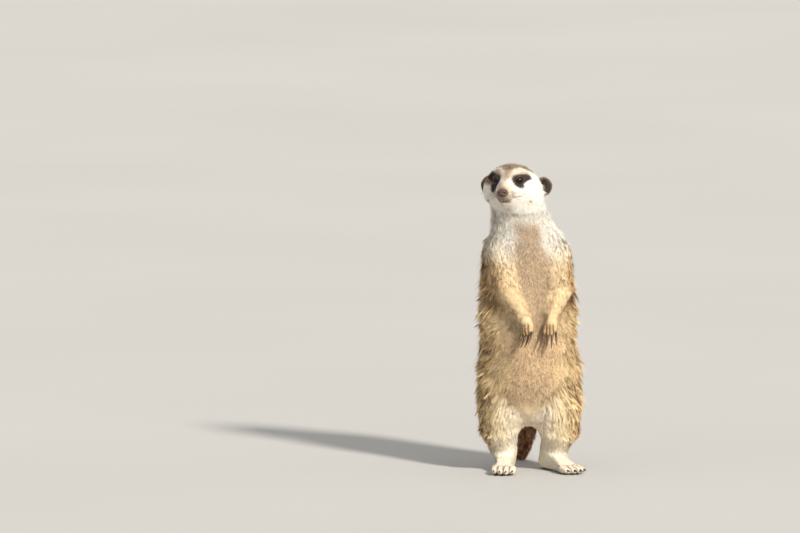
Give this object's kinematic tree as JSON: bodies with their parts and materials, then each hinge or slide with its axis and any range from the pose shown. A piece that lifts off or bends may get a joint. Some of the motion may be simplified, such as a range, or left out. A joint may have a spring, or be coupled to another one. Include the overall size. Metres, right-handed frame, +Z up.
{
  "type": "meerkat",
  "caption": "Still, life-size adult meerkat standing upright on its hind feet, arms hanging in front, tail along the floor behind it, head turned.",
  "frame": {"origin": "on the floor under the middle of the whole animal, tail included", "axes": "+Z up, the animal faces -Y, its left side is +X, and its tail lies towards +Y"},
  "size_m": [0.1068, 0.2504, 0.3005],
  "materials": {
    "fur_body": "grizzled tan fur, long on the flanks",
    "fur_face": "short white fur with a brown grizzled crown",
    "fur_pale": "short cream fur",
    "fur_dark": "dark brown fur",
    "nose_skin": "bare, dark and slightly moist",
    "claw": "dark horn, satin",
    "eye": "wet and glossy"
  },
  "bodies": {
    "root": {"ear_left": "fur_dark", "ear_right": "fur_dark", "eye_left": "eye", "eye_right": "eye", "foot_left": "fur_pale", "foot_right": "fur_pale", "forearm_left": "fur_pale", "forearm_right": "fur_pale", "front_claw_left_1": "claw", "front_claw_left_2": "claw", "front_claw_left_3": "claw", "front_claw_left_4": "claw", "front_claw_right_1": "claw", "front_claw_right_2": "claw", "front_claw_right_3": "claw", "front_claw_right_4": "claw", "hand_left": "fur_pale", "hand_right": "fur_pale", "head": "fur_face", "hind_claw_left_1": "claw", "hind_claw_left_2": "claw", "hind_claw_left_3": "claw", "hind_claw_left_4": "claw", "hind_claw_right_1": "claw", "hind_claw_right_2": "claw", "hind_claw_right_3": "claw", "hind_claw_right_4": "claw", "neck": "fur_face", "nose": "nose_skin", "shank_left": "fur_body", "shank_right": "fur_body", "tail_base": "fur_body", "tail_middle": "fur_body", "tail_tip": "fur_dark", "thigh_left": "fur_body", "thigh_right": "fur_body", "trunk": "fur_body", "upper_arm_left": "fur_body", "upper_arm_right": "fur_body"}
  },
  "joints": []
}
